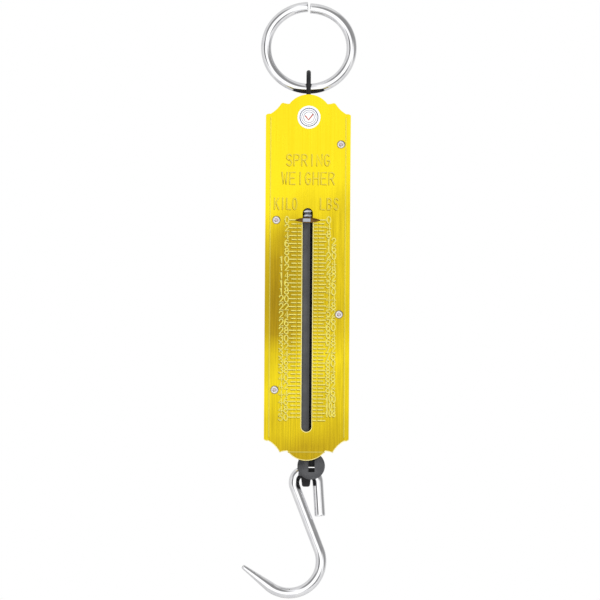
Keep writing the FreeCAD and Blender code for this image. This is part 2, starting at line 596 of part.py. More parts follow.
def hook_lug():
    """Angle bracket on the back of the bar; the hook hangs in its sideways-facing leg."""
    top_z = GUIDE_BOTTOM - HOOK_LUG_BELOW_GUIDE
    tip_z = PLATE_TOP - HOOK_LUG_TIP_DROP
    flat_half = (BAR_RIGHT - BAR_LEFT) / 2
    shoulder_z = HOOK_HOLE_Z - HOOK_HOLE_D / 2
    flat = polygon_prism([(BAR_LEFT, top_z), (HOOK_LUG_RIGHT, top_z),
                          (HOOK_LUG_RIGHT, PLATE_TOP - HOOK_LUG_WIDE_TO_DROP), (flat_half, shoulder_z),
                          (HOOK_LUG_TIP_HALF, tip_z), (-HOOK_LUG_TIP_HALF, tip_z), (-flat_half, shoulder_z)],
                         BAR_BACK_Y, BAR_BACK_Y + SHEET)
    flat = round_edges(flat, HOOK_LUG_TIP_ROUNDING, lambda e: runs_along(e, "y")
                       and abs(e.BoundBox.ZMax - tip_z) < NEAR)
    half_sheet = HOOK_LUG_SHEET / 2
    rear_y = HOOK_HOLE_D / 2 + HOOK_LEG_WALL
    leg_points = [(BAR_BACK_Y, top_z), (rear_y - HOOK_LEG_CHAMFER, top_z), (rear_y, top_z - HOOK_LEG_CHAMFER),
                  (rear_y, shoulder_z), (HOOK_LEG_TIP, tip_z), (BAR_BACK_Y, tip_z)]
    corners = [Vector(-half_sheet, y, z) for y, z in leg_points]
    leg = Part.Face(Part.makePolygon(corners + corners[:1])).extrude(Vector(HOOK_LUG_SHEET, 0, 0))
    hole = rod(Vector(-half_sheet - OVER, 0, HOOK_HOLE_Z), Vector(1, 0, 0), HOOK_HOLE_D,
               HOOK_LUG_SHEET + 2 * OVER)
    return flat.fuse(leg).cut(hole).removeSplitter().cut(lug_rivet_holes())


def hook_lug_rivets():
    """Two rivets that hold the bracket on the bar."""
    return Part.makeCompound([
        flush_rivet(LUG_RIVET_X, PLATE_TOP - drop, BAR_BACK_Y + SHEET, LUG_RIVET_D, LUG_RIVET_TAIL_D)
        for drop in LUG_RIVET_DROPS])


# Hook

def hook():
    """Round wire: short leg, small bend in the lug, slanted shank, large bend and a tapered point."""
    top = in_plane(0, HOOK_TOP_Z)
    bend = in_plane(HOOK_BEND_X, PLATE_TOP - HOOK_BEND_DROP)
    between = bend - top
    centre_lean = math.degrees(math.atan2(between.x, -between.z))
    lean = centre_lean + math.degrees(math.asin((HOOK_TOP_RADIUS + HOOK_BEND_RADIUS) / between.Length))
    short_top = on_circle(top, HOOK_TOP_RADIUS, HOOK_SHORT_LEAN)
    slant = math.radians(HOOK_SHORT_LEAN)
    short_end = short_top + in_plane(math.sin(slant), -math.cos(slant)) * HOOK_SHORT_LEG
    shank_top = on_circle(top, HOOK_TOP_RADIUS, 180 + lean)
    shank_end = on_circle(bend, HOOK_BEND_RADIUS, lean)
    wire = round_wire([
        Part.makeLine(short_end, short_top),
        circle_arc(top, HOOK_TOP_RADIUS, HOOK_SHORT_LEAN, 180 + lean),
        Part.makeLine(shank_top, shank_end),
        circle_arc(bend, HOOK_BEND_RADIUS, lean, -HOOK_POINT_FROM)], HOOK_WIRE_D)
    turn = math.radians(HOOK_POINT_FROM)
    point = Part.makeCone(HOOK_WIRE_D / 2, HOOK_POINT_D / 2, HOOK_POINT_LENGTH,
                          on_circle(bend, HOOK_BEND_RADIUS, -HOOK_POINT_FROM),
                          in_plane(-math.sin(turn), -math.cos(turn)))
    return wire.fuse(point).removeSplitter()


PIECES = (hanging_ring, shackle, top_yoke, spring_anchor_pin, face_plate, back_case, case_rivets,
          bottom_guide, guide_rivets, inspection_sticker, main_spring, spring_lug, spring_lug_rivet,
          draw_bar, pointer, stop_boss, boss_pin, hook_lug, hook_lug_rivets, hook)


def main():
    os.makedirs("parts", exist_ok=True)
    for piece in PIECES:
        shape = piece()
        shape.exportStep("parts/" + piece.__name__ + ".step")
        print(piece.__name__, len(shape.Solids), shape.isValid(), round(shape.Volume, 1))


main()
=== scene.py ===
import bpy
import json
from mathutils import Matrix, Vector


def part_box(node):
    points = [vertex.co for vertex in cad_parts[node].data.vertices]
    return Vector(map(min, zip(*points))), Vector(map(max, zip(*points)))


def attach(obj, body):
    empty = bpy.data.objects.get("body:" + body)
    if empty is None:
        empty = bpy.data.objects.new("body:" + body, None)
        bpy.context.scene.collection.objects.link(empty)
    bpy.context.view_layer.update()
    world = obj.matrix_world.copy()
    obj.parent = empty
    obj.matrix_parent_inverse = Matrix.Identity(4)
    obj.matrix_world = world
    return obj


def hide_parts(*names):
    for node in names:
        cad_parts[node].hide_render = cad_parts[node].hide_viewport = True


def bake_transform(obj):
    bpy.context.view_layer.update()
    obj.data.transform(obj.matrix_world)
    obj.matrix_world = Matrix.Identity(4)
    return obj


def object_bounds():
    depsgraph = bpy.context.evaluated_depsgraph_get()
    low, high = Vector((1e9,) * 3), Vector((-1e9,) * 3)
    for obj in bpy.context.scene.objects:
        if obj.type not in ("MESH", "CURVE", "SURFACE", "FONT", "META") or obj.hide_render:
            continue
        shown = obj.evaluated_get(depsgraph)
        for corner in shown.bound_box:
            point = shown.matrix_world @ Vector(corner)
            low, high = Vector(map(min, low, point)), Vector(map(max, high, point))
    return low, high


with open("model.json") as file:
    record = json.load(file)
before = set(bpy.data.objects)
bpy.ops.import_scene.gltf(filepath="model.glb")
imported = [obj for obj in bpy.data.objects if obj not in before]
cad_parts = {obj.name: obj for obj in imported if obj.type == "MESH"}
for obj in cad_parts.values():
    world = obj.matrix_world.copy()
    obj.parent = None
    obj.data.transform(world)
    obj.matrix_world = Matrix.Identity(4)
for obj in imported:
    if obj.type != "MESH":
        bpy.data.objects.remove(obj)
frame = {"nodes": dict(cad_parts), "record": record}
cad_bounds = [list(corner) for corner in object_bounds()]

import json
import math

import bmesh
import bpy
from mathutils import Matrix, Vector

# Hanging spring scale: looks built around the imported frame. Metres; the face looks along -Y.

MM = 0.001
NODES = frame["nodes"]

# Places read from the frame
PLATE_LOW, PLATE_HIGH = (Vector(corner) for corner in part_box("face_plate"))
FACE_Y = PLATE_LOW.y
PLATE_TOP = PLATE_HIGH.z
POINTER_LOW, POINTER_HIGH = (Vector(corner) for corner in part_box("pointer"))
ZERO_Z = (POINTER_LOW.z + POINTER_HIGH.z) / 2
JOINTS = {joint["name"]: joint for joint in frame["record"]["behaviour"]["joints"]}
TRAVEL = JOINTS["draw_slide"]["range_m"][1]

# Wire sizes and bends, the same as the frame's
RING_WIRE = 5.4 * MM
RING_GAP = 1.1 * MM
RING_SIDE_TIGHTER = 0.8 * MM
HOOK_WIRE = 5.7 * MM
HOOK_POINT = 2.2 * MM
HOOK_TOP_RADIUS = 6.3 * MM
HOOK_BEND_RADIUS = 17.0 * MM
HOOK_BEND_OFFSET = Vector((-8.7 * MM, 0, -41.8 * MM))
HOOK_SHORT_LEG = 18.3 * MM
HOOK_SHORT_LEAN = 4.0
HOOK_POINT_FROM = 126.5
HOOK_POINT_LENGTH = 18.2 * MM
SPRING_WIRE = 2.5 * MM
SPRING_LOOP_RADIUS = 4.0 * MM
SPRING_TURNS = 18

# Rounding of the wires' ends
RING_END_ROUND = 0.35 * MM
HOOK_END_ROUND = 0.6 * MM

# How far the ring's right end has sprung, which only the visual model has
RING_END_DROP = 0.7 * MM
RING_END_BACK = 0.6 * MM

# Case rivets: sideways place and distance below the plate's top in mm, as in the frame
RIVET_PLACES = ((17.4, 26.4), (-16.6, 66.6), (16.9, 116.4), (-17.0, 156.5))

# Dial
FULL_KG = 50
FULL_LB = 110
KG_PER_LB = 0.45359237
KILO_REACH = (9.6 * MM, 8.3 * MM)
POUND_REACH = (9.7 * MM, 8.5 * MM)
TICK_START = 3.6 * MM
TICK_GAP_AT = 5.5 * MM
TICK_HALF_GAP = 0.55 * MM

# Raised marks: width and height of their strokes
TICK_STROKE = (0.92 * MM, 0.32 * MM)
FIGURE_STROKE = (0.85 * MM, 0.28 * MM)
LETTER_STROKE = (0.9 * MM, 0.42 * MM)
WITNESS_STROKE = (0.8 * MM, 0.12 * MM)
RIM_STROKE = (0.42 * MM, 0.03 * MM)
PRINT_HEIGHT = 0.02 * MM

# Softened edges of the pieces that keep the frame's shape
PLATE_BEVEL = 0.45 * MM
PRESSING_BEVEL = 0.15 * MM

# Painted shade: brightness painted into the plate's lacquer at distances in mm below its top, down
# its two sides, standing in for its reflections. Outside the strip lines it is more even.
STRIP_LINE = 20.0 * MM
PLATE_HEIGHT_MM = (PLATE_TOP - PLATE_LOW.z) / MM
PAINTED_SHADE_LEFT = ((0, 1.0), (52, 1.0), (64, 0.80), (78, 0.51), (100, 0.43), (120, 0.48), (132, 0.84),
                (152, 0.98), (166, 0.79), (178, 0.80), (194, 0.58))
PAINTED_SHADE_RIGHT = ((0, 1.0), (56, 1.0), (78, 0.84), (100, 0.80), (130, 0.77), (152, 0.92), (175, 0.80),
                 (194, 0.60))


# Mesh helpers

def mesh_object(name, points, faces, material, smooth=True):
    mesh = bpy.data.meshes.new(name)
    mesh.from_pydata([tuple(point) for point in points], [], faces)
    mesh.update()
    if smooth:
        mesh.polygons.foreach_set("use_smooth", [True] * len(mesh.polygons))
    mesh.materials.append(material)
    piece = bpy.data.objects.new(name, mesh)
    bpy.context.scene.collection.objects.link(piece)
    return piece


def path_frames(path):
    """A tangent and two normals at each point, turned as little as possible along the path."""
    count = len(path)
    tangents = [(path[min(i + 1, count - 1)] - path[max(i - 1, 0)]).normalized() for i in range(count)]
    normal = tangents[0].orthogonal().normalized()
    frames = []
    for tangent in tangents:
        normal = (normal - tangent * normal.dot(tangent)).normalized()
        frames.append((tangent, normal, tangent.cross(normal)))
    return frames


def swept_wire(path, radii, sides=32):
    """Points and faces of a round wire of changing radius, with its ends closed."""
    points, faces = [], []
    for centre, radius, (_, normal, side) in zip(path, radii, path_frames(path)):
        for step in range(sides):
            turn = 2 * math.pi * step / sides
            points.append(centre + (normal * math.cos(turn) + side * math.sin(turn)) * radius)
    for row in range(len(path) - 1):
        for step in range(sides):
            a = row * sides + step
            b = row * sides + (step + 1) % sides
            faces.append((a, b, b + sides, a + sides))
    last = (len(path) - 1) * sides
    faces.append(tuple(reversed(range(sides))))
    faces.append(tuple(range(last, last + sides)))
    return points, faces


def rounded_ends(path, radii, chamfer):
    """The same wire with its two ends rounded off by the chamfer."""
    steps = 5
    head = path[1] - path[0]
    tail = path[-1] - path[-2]
    start, start_radii, end, end_radii = [], [], [], []
    for step in range(steps):
        turn = math.pi / 2 * step / steps
        inset, back = chamfer * (1 - math.sin(turn)), chamfer * (1 - math.cos(turn))
        start.append(path[0] + head.normalized() * back)
        start_radii.append(radii[0] - inset)
        end.append(path[-1] - tail.normalized() * back)
        end_radii.append(radii[-1] - inset)
    keep = [i for i, point in enumerate(path)
            if (point - path[0]).length > chamfer and (point - path[-1]).length > chamfer]
    middle = [path[i] for i in keep]
    middle_radii = [radii[i] for i in keep]
    return start + middle + end[::-1], start_radii + middle_radii + end_radii[::-1]


def on_circle(centre, radius, degrees):
    turn = math.radians(degrees)
    return centre + Vector((math.cos(turn), 0, math.sin(turn))) * radius


def arc_points(centre, radius, start, end, steps):
    return [on_circle(centre, radius, start + (end - start) * i / steps) for i in range(steps + 1)]


def line_points(start, end, steps):
    return [start.lerp(end, i / steps) for i in range(steps + 1)]


# Materials

def new_material(name):
    material = bpy.data.materials.new(name)
    material.use_nodes = True
    tree = material.node_tree
    return material, tree, tree.nodes["Principled BSDF"]


def link(tree, source, target):
    tree.links.new(source, target)


def stretched_noise(tree, scale, detail=4.0, size=1.0):
    """Noise over the object's own coordinates, stretched by the three scales."""
    place = tree.nodes.new("ShaderNodeTexCoord")
    mapping = tree.nodes.new("ShaderNodeMapping")
    mapping.inputs["Scale"].default_value = scale
    noise = tree.nodes.new("ShaderNodeTexNoise")
    noise.inputs["Scale"].default_value = size
    noise.inputs["Detail"].default_value = detail
    link(tree, place.outputs["Object"], mapping.inputs["Vector"])
    link(tree, mapping.outputs["Vector"], noise.inputs["Vector"])
    return noise.outputs["Fac"]


def colour_ramp(tree, source, stops):
    ramp = tree.nodes.new("ShaderNodeValToRGB")
    elements = ramp.color_ramp.elements
    while len(elements) < len(stops):
        elements.new(0.5)
    for element, (position, colour) in zip(elements, stops):
        element.position = position
        element.color = (*colour, 1)
    link(tree, source, ramp.inputs["Fac"])
    return ramp.outputs["Color"]


def value_range(tree, source, low, high, from_low=0.3, from_high=0.7):
    remap = tree.nodes.new("ShaderNodeMapRange")
    remap.inputs["From Min"].default_value = from_low
    remap.inputs["From Max"].default_value = from_high
    remap.inputs["To Min"].default_value = low
    remap.inputs["To Max"].default_value = high
    link(tree, source, remap.inputs["Value"])
    return remap.outputs["Result"]


def math_node(tree, operation, first, second=None):
    made = tree.nodes.new("ShaderNodeMath")
    made.operation = operation
    for socket, value in zip(made.inputs, (first, second)):
        if value is None:
            continue
        if isinstance(value, (int, float)):
            socket.default_value = value
        else:
            link(tree, value, socket)
    return made.outputs["Value"]


def chained_bump(tree, source, strength, distance, under=None):
    """Height from the source, laid over another bump if one is given."""
    bumped = tree.nodes.new("ShaderNodeBump")
    bumped.inputs["Strength"].default_value = strength
    bumped.inputs["Distance"].default_value = distance
    link(tree, source, bumped.inputs["Height"])
    if under:
        link(tree, under, bumped.inputs["Normal"])
    return bumped.outputs["Normal"]


def blend_colours(tree, factor, first, second, how="MIX"):
    """The second colour over the first; a factor, either colour or both may be sockets."""
    mixed = tree.nodes.new("ShaderNodeMix")
    mixed.data_type = "RGBA"
    mixed.blend_type = how
    for socket, value in ((mixed.inputs["Factor"], factor), (mixed.inputs["A"], first),
                          (mixed.inputs["B"], second)):
        if isinstance(value, (int, float)):
            socket.default_value = value
        elif isinstance(value, tuple):
            socket.default_value = (*value, 1)
        else:
            link(tree, value, socket)
    return mixed.outputs["Result"]


def object_place(tree, output="Object"):
    """X, Y and Z of the object's own coordinates, or of its own normal."""
    place = tree.nodes.new("ShaderNodeTexCoord")
    parts = tree.nodes.new("ShaderNodeSeparateXYZ")
    link(tree, place.outputs[output], parts.inputs["Vector"])
    return parts.outputs["X"], parts.outputs["Y"], parts.outputs["Z"]


def lacquer_tint(shade):
    """Where the painted shade is darker, it is also less green."""
    return shade, shade ** 1.28, shade


def uneven_lacquer(tree):
    """Painted shade multiplied over the plate: clear near the top, darker down the left, streaked below
    the words.
    """
    x, _, z = object_place(tree)
    drift = value_range(tree, stretched_noise(tree, (34, 34, 20), detail=2), -0.010, 0.010)
    slope = math_node(tree, "MULTIPLY", x, -0.42)
    height = math_node(tree, "ADD", z, math_node(tree, "ADD", drift, slope))
    down = value_range(tree, height, 1.0, 0.0, PLATE_LOW.z, PLATE_TOP)
    sides = [colour_ramp(tree, down, [(drop / PLATE_HEIGHT_MM, lacquer_tint(shade))
                                      for drop, shade in stops])
             for stops in (PAINTED_SHADE_LEFT, PAINTED_SHADE_RIGHT)]
    across = value_range(tree, x, 0.0, 1.0, -16 * MM, 16 * MM)
    inner = blend_colours(tree, across, *sides)
    streaks = colour_ramp(tree, stretched_noise(tree, (1500, 1500, 40), detail=3),
                          [(0.32, (0.78, 0.77, 0.74)), (0.68, (1.06, 1.06, 1.10))])
    below_words = value_range(tree, down, 0.0, 1.0, 0.26, 0.40)
    inner = blend_colours(tree, below_words, inner, blend_colours(tree, 1.0, inner, streaks, "MULTIPLY"))
    strip = value_range(tree, math_node(tree, "ABSOLUTE", x), 0.0, 0.25,
                        STRIP_LINE - 0.3 * MM, STRIP_LINE + 0.3 * MM)
    return blend_colours(tree, strip, inner, (0.96, 0.96, 0.96))


def yellow_metal(name, painted_highlight=0.0, painted_shade_colour=None):
    """Brushed sheet under thin yellow lacquer: fine lines down it, painted shade, slight waves, painted
    highlight on the cut rim.

    On marks that stand up from it, which give a painted highlight share and a painted shade colour, the
    colour is painted pale on top and towards the light, and painted darker on the sides away from the
    light.
    """
    material, tree, shader = new_material(name)
    lines = stretched_noise(tree, (2400, 2400, 22), detail=4)
    brushed = colour_ramp(tree, lines, [(0.3, (0.89, 0.70, 0.008)), (0.7, (0.96, 0.77, 0.016))])
    # The plate's painted shade is multiplied into the brushed colour.
    sheet = blend_colours(tree, 1.0, brushed, uneven_lacquer(tree), "MULTIPLY")
    nx, ny, nz = object_place(tree, "Normal")
    if painted_shade_colour:
        # Painted light from above and to the right, by the object's normals: lit sides pale, far sides
        # shaded.
        lit = math_node(tree, "ADD", math_node(tree, "MULTIPLY", nz, 0.85),
                        math_node(tree, "MULTIPLY", nx, 0.5))
        shaded = value_range(tree, lit, 0.0, 1.0, -0.22, -0.55)
        painted_top_highlight = value_range(tree, lit, 0.0, painted_highlight, 0.10, 0.50)
        pale = blend_colours(tree, painted_highlight, sheet, (1.0, 0.90, 0.16))
        colour = blend_colours(tree, shaded, pale, blend_colours(tree, 1.0, sheet, painted_shade_colour, "MULTIPLY"))
        colour = blend_colours(tree, painted_top_highlight, colour, (1.0, 0.92, 0.34))
        shader.inputs["Metallic"].default_value = 0.5
    else:
        # Painted highlight: bevel faces turned partly from the front are painted pale and less metallic,
        # as an edge catching light.
        rim = math_node(tree, "MINIMUM", value_range(tree, ny, 0.0, 0.9, -0.99, -0.88),
                        value_range(tree, ny, 0.9, 0.0, 0.5, 0.9))
        colour = blend_colours(tree, rim, sheet, (1.0, 0.96, 0.62))
        link(tree, value_range(tree, rim, 0.86, 0.25, 0.0, 0.9), shader.inputs["Metallic"])
    link(tree, colour, shader.inputs["Base Color"])
    clouds = stretched_noise(tree, (70, 70, 22), detail=5)
    link(tree, value_range(tree, clouds, 0.22, 0.32), shader.inputs["Roughness"])
    waves = stretched_noise(tree, (26, 26, 13), detail=1)
    fine = chained_bump(tree, lines, 0.5, 0.02 * MM)
    link(tree, chained_bump(tree, waves, 1.0, 1.2 * MM, fine), shader.inputs["Normal"])
    return material


def cut_edge_metal():
    """Pale edge of the sheet where the cutter has taken the lacquer off, painted paler still as a
    highlight along the cut.
    """
    material, tree, shader = new_material("cut_edge")
    nicks = stretched_noise(tree, (900, 900, 900), detail=4)
    colour = colour_ramp(tree, nicks, [(0.3, (0.94, 0.82, 0.24)), (0.7, (1.0, 0.93, 0.46))])
    link(tree, colour, shader.inputs["Base Color"])
    shader.inputs["Metallic"].default_value = 0.2
    link(tree, value_range(tree, nicks, 0.25, 0.40), shader.inputs["Roughness"])
    link(tree, chained_bump(tree, nicks, 0.3, 0.03 * MM), shader.inputs["Normal"])
    return material


def bright_wire_metal():
    """Plated steel wire with faint drawing marks and a few scuffs."""
    material, tree, shader = new_material("bright_wire")
    scuffs = stretched_noise(tree, (260, 260, 260), detail=6)
    colour = colour_ramp(tree, scuffs, [(0.3, (0.88, 0.88, 0.91)), (0.6, (0.97, 0.97, 0.98))])
    link(tree, colour, shader.inputs["Base Color"])
    shader.inputs["Metallic"].default_value = 1.0
    link(tree, value_range(tree, scuffs, 0.05, 0.12), shader.inputs["Roughness"])
    ripple = stretched_noise(tree, (90, 90, 90), detail=2)
    link(tree, chained_bump(tree, ripple, 0.4, 0.18 * MM), shader.inputs["Normal"])
    return material


def black_enamel(name, depth=1.0, bare_in_front=None):
    """Satin black paint over pressed steel, slightly orange-peeled; bare steel in front of a given Y.

    A depth below 1 makes it darker and less glossy: a copy that paints shade on parts in gaps and
    recesses.
    """
    material, tree, shader = new_material(name)
    clouds = stretched_noise(tree, (150, 150, 150), detail=6)
    dark, pale = (tuple(depth * part for part in shade)
                  for shade in ((0.056, 0.057, 0.062), (0.092, 0.094, 0.100)))
    colour = colour_ramp(tree, clouds, [(0.35, dark), (0.65, pale)])
    if bare_in_front is not None:
        _, y, _ = object_place(tree)
        bare = value_range(tree, y, 1.0, 0.0, bare_in_front, bare_in_front + 0.1 * MM)
        colour = blend_colours(tree, bare, colour, (0.44, 0.47, 0.52))
        link(tree, bare, shader.inputs["Metallic"])
    link(tree, colour, shader.inputs["Base Color"])
    link(tree, value_range(tree, clouds, 0.24, 0.40), shader.inputs["Roughness"])
    shader.inputs["Specular IOR Level"].default_value = 0.5 * depth
    peel = stretched_noise(tree, (1100, 1100, 1100), detail=3)
    link(tree, chained_bump(tree, peel, 0.7, 0.09 * MM), shader.inputs["Normal"])
    return material


def rivet_metal(name, head_base=None):
    """Plain steel, lightly marked.

    With a head base, given as a Y, painted shade makes the head dark round its base and dull in its sunk
    middle.
    """
    material, tree, shader = new_material(name)
    marks = stretched_noise(tree, (1400, 1400, 1400), detail=6)
    colour = colour_ramp(tree, marks, [(0.3, (0.74, 0.72, 0.71)), (0.7, (0.95, 0.93, 0.92))])
    if head_base is not None:
        _, y, _ = object_place(tree)
        rise = value_range(tree, y, 0.0, 1.0, head_base + 1.0 * MM, head_base - 1.0 * MM)
        # Painted shade: dark round the head's base and darker in its sunk middle.
        painted_head_shade = colour_ramp(tree, rise, [(0.30, (0.85, 0.85, 0.85)), (0.48, (0.10, 0.07, 0.03)),
                                        (0.69, (0.20, 0.14, 0.09)), (0.74, (0.66, 0.55, 0.61)),
                                        (0.81, (0.76, 0.66, 0.70)), (0.92, (1.0, 1.0, 1.0))])
        colour = blend_colours(tree, 1.0, colour, painted_head_shade, "MULTIPLY")
    link(tree, colour, shader.inputs["Base Color"])
    shader.inputs["Metallic"].default_value = 1.0
    link(tree, value_range(tree, marks, 0.18, 0.34), shader.inputs["Roughness"])
    link(tree, chained_bump(tree, marks, 0.4, 0.05 * MM), shader.inputs["Normal"])
    return material


def spring_metal():
    """Bright blue-grey spring wire."""
    material, tree, shader = new_material("spring_steel")
    marks = stretched_noise(tree, (800, 800, 800), detail=5)
    colour = colour_ramp(tree, marks, [(0.3, (0.48, 0.49, 0.52)), (0.7, (0.74, 0.75, 0.79))])
    link(tree, colour, shader.inputs["Base Color"])
    shader.inputs["Metallic"].default_value = 1.0
    link(tree, value_range(tree, marks, 0.10, 0.22), shader.inputs["Roughness"])
    link(tree, chained_bump(tree, marks, 0.3, 0.03 * MM), shader.inputs["Normal"])
    return material


def pointer_brass():
    """Dull bronze-brown brass sheet."""
    material, tree, shader = new_material("pointer_brass")
    marks = stretched_noise(tree, (900, 900, 900), detail=6)
    colour = colour_ramp(tree, marks, [(0.3, (0.13, 0.062, 0.010)), (0.7, (0.25, 0.13, 0.030))])
    link(tree, colour, shader.inputs["Base Color"])
    shader.inputs["Metallic"].default_value = 0.9
    link(tree, value_range(tree, marks, 0.28, 0.45), shader.inputs["Roughness"])
    link(tree, chained_bump(tree, marks, 0.3, 0.03 * MM), shader.inputs["Normal"])
    return material


def label_paper():
    """White paper with a slight grain."""
    material, tree, shader = new_material("label_paper")
    grain = stretched_noise(tree, (2500, 2500, 2500), detail=3)
    shade = colour_ramp(tree, grain, [(0.3, (0.94, 0.94, 0.95)), (0.7, (0.99, 0.99, 0.99))])
    link(tree, shade, shader.inputs["Base Color"])
    shader.inputs["Roughness"].default_value = 0.4
    link(tree, chained_bump(tree, grain, 0.2, 0.03 * MM), shader.inputs["Normal"])
    return material


def ink(name, colour):
    material, tree, shader = new_material(name)
    shade = colour_ramp(tree, stretched_noise(tree, (1800, 1800, 1800)),
                        [(0.3, tuple(part * 0.85 for part in colour)), (0.7, colour)])
    link(tree, shade, shader.inputs["Base Color"])
    shader.inputs["Roughness"].default_value = 0.5
    return material


YELLOW = yellow_metal("yellow_lacquer")
# Raised and pressed marks get painted highlight and painted shade.
RAISED = yellow_metal("raised_lacquer", painted_highlight=0.85, painted_shade_colour=(0.28, 0.19, 0.14))
PRESSED = yellow_metal("pressed_lacquer", painted_highlight=0.3, painted_shade_colour=(0.58, 0.46, 0.30))
BRIGHT = bright_wire_metal()
BLACK = black_enamel("black_enamel")
# Painted shade: a darker copy of the enamel for parts in gaps and recesses, and for the shackle.
SHADED_BLACK = black_enamel("shaded_enamel", depth=0.3)
BAR_BLACK = black_enamel("bar_enamel", bare_in_front=POINTER_LOW.y - 0.05 * MM)
RIVET = rivet_metal("rivet_steel")
FACE_RIVET = rivet_metal("face_rivet_steel", FACE_Y)
SPRING = spring_metal()
BRASS = pointer_brass()


# Wire pieces

def ring_path():
    """Four smooth arcs from gap to gap; the right end has sprung a little down and back."""
    low, high = (Vector(corner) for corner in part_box("hanging_ring"))
    half_width = (high.x - low.x - RING_WIRE) / 2
    half_height = (high.z - low.z - RING_WIRE) / 2
    middle = Vector((0, 0, (low.z + high.z) / 2))
    side_radius = half_height - RING_SIDE_TIGHTER
    flat_radius = ((half_width ** 2 + half_height ** 2 - 2 * half_width * side_radius)
                   / (2 * RING_SIDE_TIGHTER))
    aside = Vector((half_width - side_radius, 0, 0))
    above = Vector((0, 0, flat_radius - half_height))
    join = math.degrees(math.atan2(above.z, aside.x))
    half_gap = math.degrees(RING_GAP / 2 / flat_radius)
    path = arc_points(middle - above, flat_radius, 90 - half_gap, join, 36)[:-1]
    path += arc_points(middle + aside, side_radius, join, -join, 60)[:-1]
    path += arc_points(middle + above, flat_radius, -join, join - 180, 72)[:-1]
    path += arc_points(middle - aside, side_radius, 180 + join, 180 - join, 60)[:-1]
    path += arc_points(middle - above, flat_radius, 180 - join, 90 + half_gap, 36)
    bent = []
    for point in path:
        nearness = max(0.0, (point.z - middle.z) / half_height) ** 4 if point.x > 0 else 0.0
        bent.append(point + Vector((0, RING_END_BACK, -RING_END_DROP)) * nearness)
    return bent


def ring_piece():
    path = ring_path()
    path, radii = rounded_ends(path, [RING_WIRE / 2] * len(path), RING_END_ROUND)
    ring = mesh_object("ring", *swept_wire(path, radii), BRIGHT)
    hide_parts("hanging_ring")
    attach(ring, "ring")
    return ring


def hook_path():
    pivot = Vector(JOINTS["hook_swing"]["pos_m"])
    bend = pivot + HOOK_BEND_OFFSET
    lean = math.degrees(math.atan2(HOOK_BEND_OFFSET.x, -HOOK_BEND_OFFSET.z)
                        + math.asin((HOOK_TOP_RADIUS + HOOK_BEND_RADIUS) / HOOK_BEND_OFFSET.length))
    short_top = on_circle(pivot, HOOK_TOP_RADIUS, HOOK_SHORT_LEAN)
    slant = math.radians(HOOK_SHORT_LEAN)
    short_end = short_top + Vector((math.sin(slant), 0, -math.cos(slant))) * HOOK_SHORT_LEG
    shank_top = on_circle(pivot, HOOK_TOP_RADIUS, 180 + lean)
    shank_end = on_circle(bend, HOOK_BEND_RADIUS, lean)
    path = line_points(short_end, short_top, 20)[:-1]
    path += arc_points(pivot, HOOK_TOP_RADIUS, HOOK_SHORT_LEAN, 180 + lean, 48)[:-1]
    path += line_points(shank_top, shank_end, 20)[:-1]
    path += arc_points(bend, HOOK_BEND_RADIUS, lean, -HOOK_POINT_FROM, 60)
    turn = math.radians(HOOK_POINT_FROM)
    towards_point = Vector((-math.sin(turn), 0, -math.cos(turn)))
    radii = [HOOK_WIRE / 2] * len(path)
    start = path[-1]
    steps = 24
    for step in range(1, steps + 1):
        part = step / steps
        path.append(start + towards_point * HOOK_POINT_LENGTH * part)
        radii.append((HOOK_WIRE * (1 - part) + HOOK_POINT * part) / 2)
    return path, radii


def hook_piece():
    path, radii = rounded_ends(*hook_path(), HOOK_END_ROUND)
    hook = mesh_object("steel_hook", *swept_wire(path, radii), BRIGHT)
    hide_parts("hook")
    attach(hook, "hook")
    return hook


def spring_path():
    """Upper loop, outward turn, close coil, and the same again at the lower end."""
    low, high = (Vector(corner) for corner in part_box("main_spring"))
    radius = (high.x - low.x - SPRING_WIRE) / 2
    upper = high.z - SPRING_WIRE / 2 - SPRING_LOOP_RADIUS
    lower = low.z + SPRING_WIRE / 2 + SPRING_LOOP_RADIUS
    lead = 5.0 * MM
    coil_top, coil_bottom = upper - lead, lower + lead
    upper_loop = []
    steps = 40
    for step in range(steps + 1):
        turn = math.radians(45 + 315 * step / steps)
        upper_loop.append(Vector((0.5 * SPRING_WIRE * (1 - step / steps) - 0.2 * SPRING_WIRE,
                                  -SPRING_LOOP_RADIUS * math.sin(turn),
                                  upper - SPRING_LOOP_RADIUS * math.cos(turn))))
    coil = []
    per_turn = 40
    for step in range(SPRING_TURNS * per_turn + 1):
        turn = math.pi - 2 * math.pi * step / per_turn
        height = coil_top - (coil_top - coil_bottom) * step / (SPRING_TURNS * per_turn)
        coil.append(Vector((radius * math.cos(turn), radius * math.sin(turn), height)))
    lower_loop = [Vector((-point.x, -point.y, upper + lower - point.z))
                  for point in reversed(upper_loop)]
    lead_in = bridge(upper_loop[-2], upper_loop[-1], coil[0], coil[1])
    lead_out = bridge(coil[-2], coil[-1], lower_loop[0], lower_loop[1])
    return upper_loop + lead_in + coil + lead_out + lower_loop


def bridge(before, start, end, after):
    """Smooth wire between two stretches, leaving and arriving in their directions."""
    span = (end - start).length
    leave = (start - before).normalized() * span * 1.8
    arrive = (after - end).normalized() * span * 1.8
    steps = 14
    points = []
    for step in range(1, steps):
        t = step / steps
        points.append(start * (2 * t ** 3 - 3 * t ** 2 + 1) + leave * (t ** 3 - 2 * t ** 2 + t)
                      + end * (3 * t ** 2 - 2 * t ** 3) + arrive * (t ** 3 - t ** 2))
    return points


def spring_piece():
    path = spring_path()
    points, faces = swept_wire(path, [SPRING_WIRE / 2] * len(path), sides=16)
    spring = mesh_object("coil_spring", points, faces, SPRING)
    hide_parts("main_spring")
    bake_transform(spring)
    return spring


# Raised figures

def ellipse(cx, cy, rx, ry, start, end, steps=14):
    points = []
    for step in range(steps + 1):
        turn = math.radians(start + (end - start) * step / steps)
        points.append((cx + rx * math.cos(turn), cy + ry * math.sin(turn)))
    return points


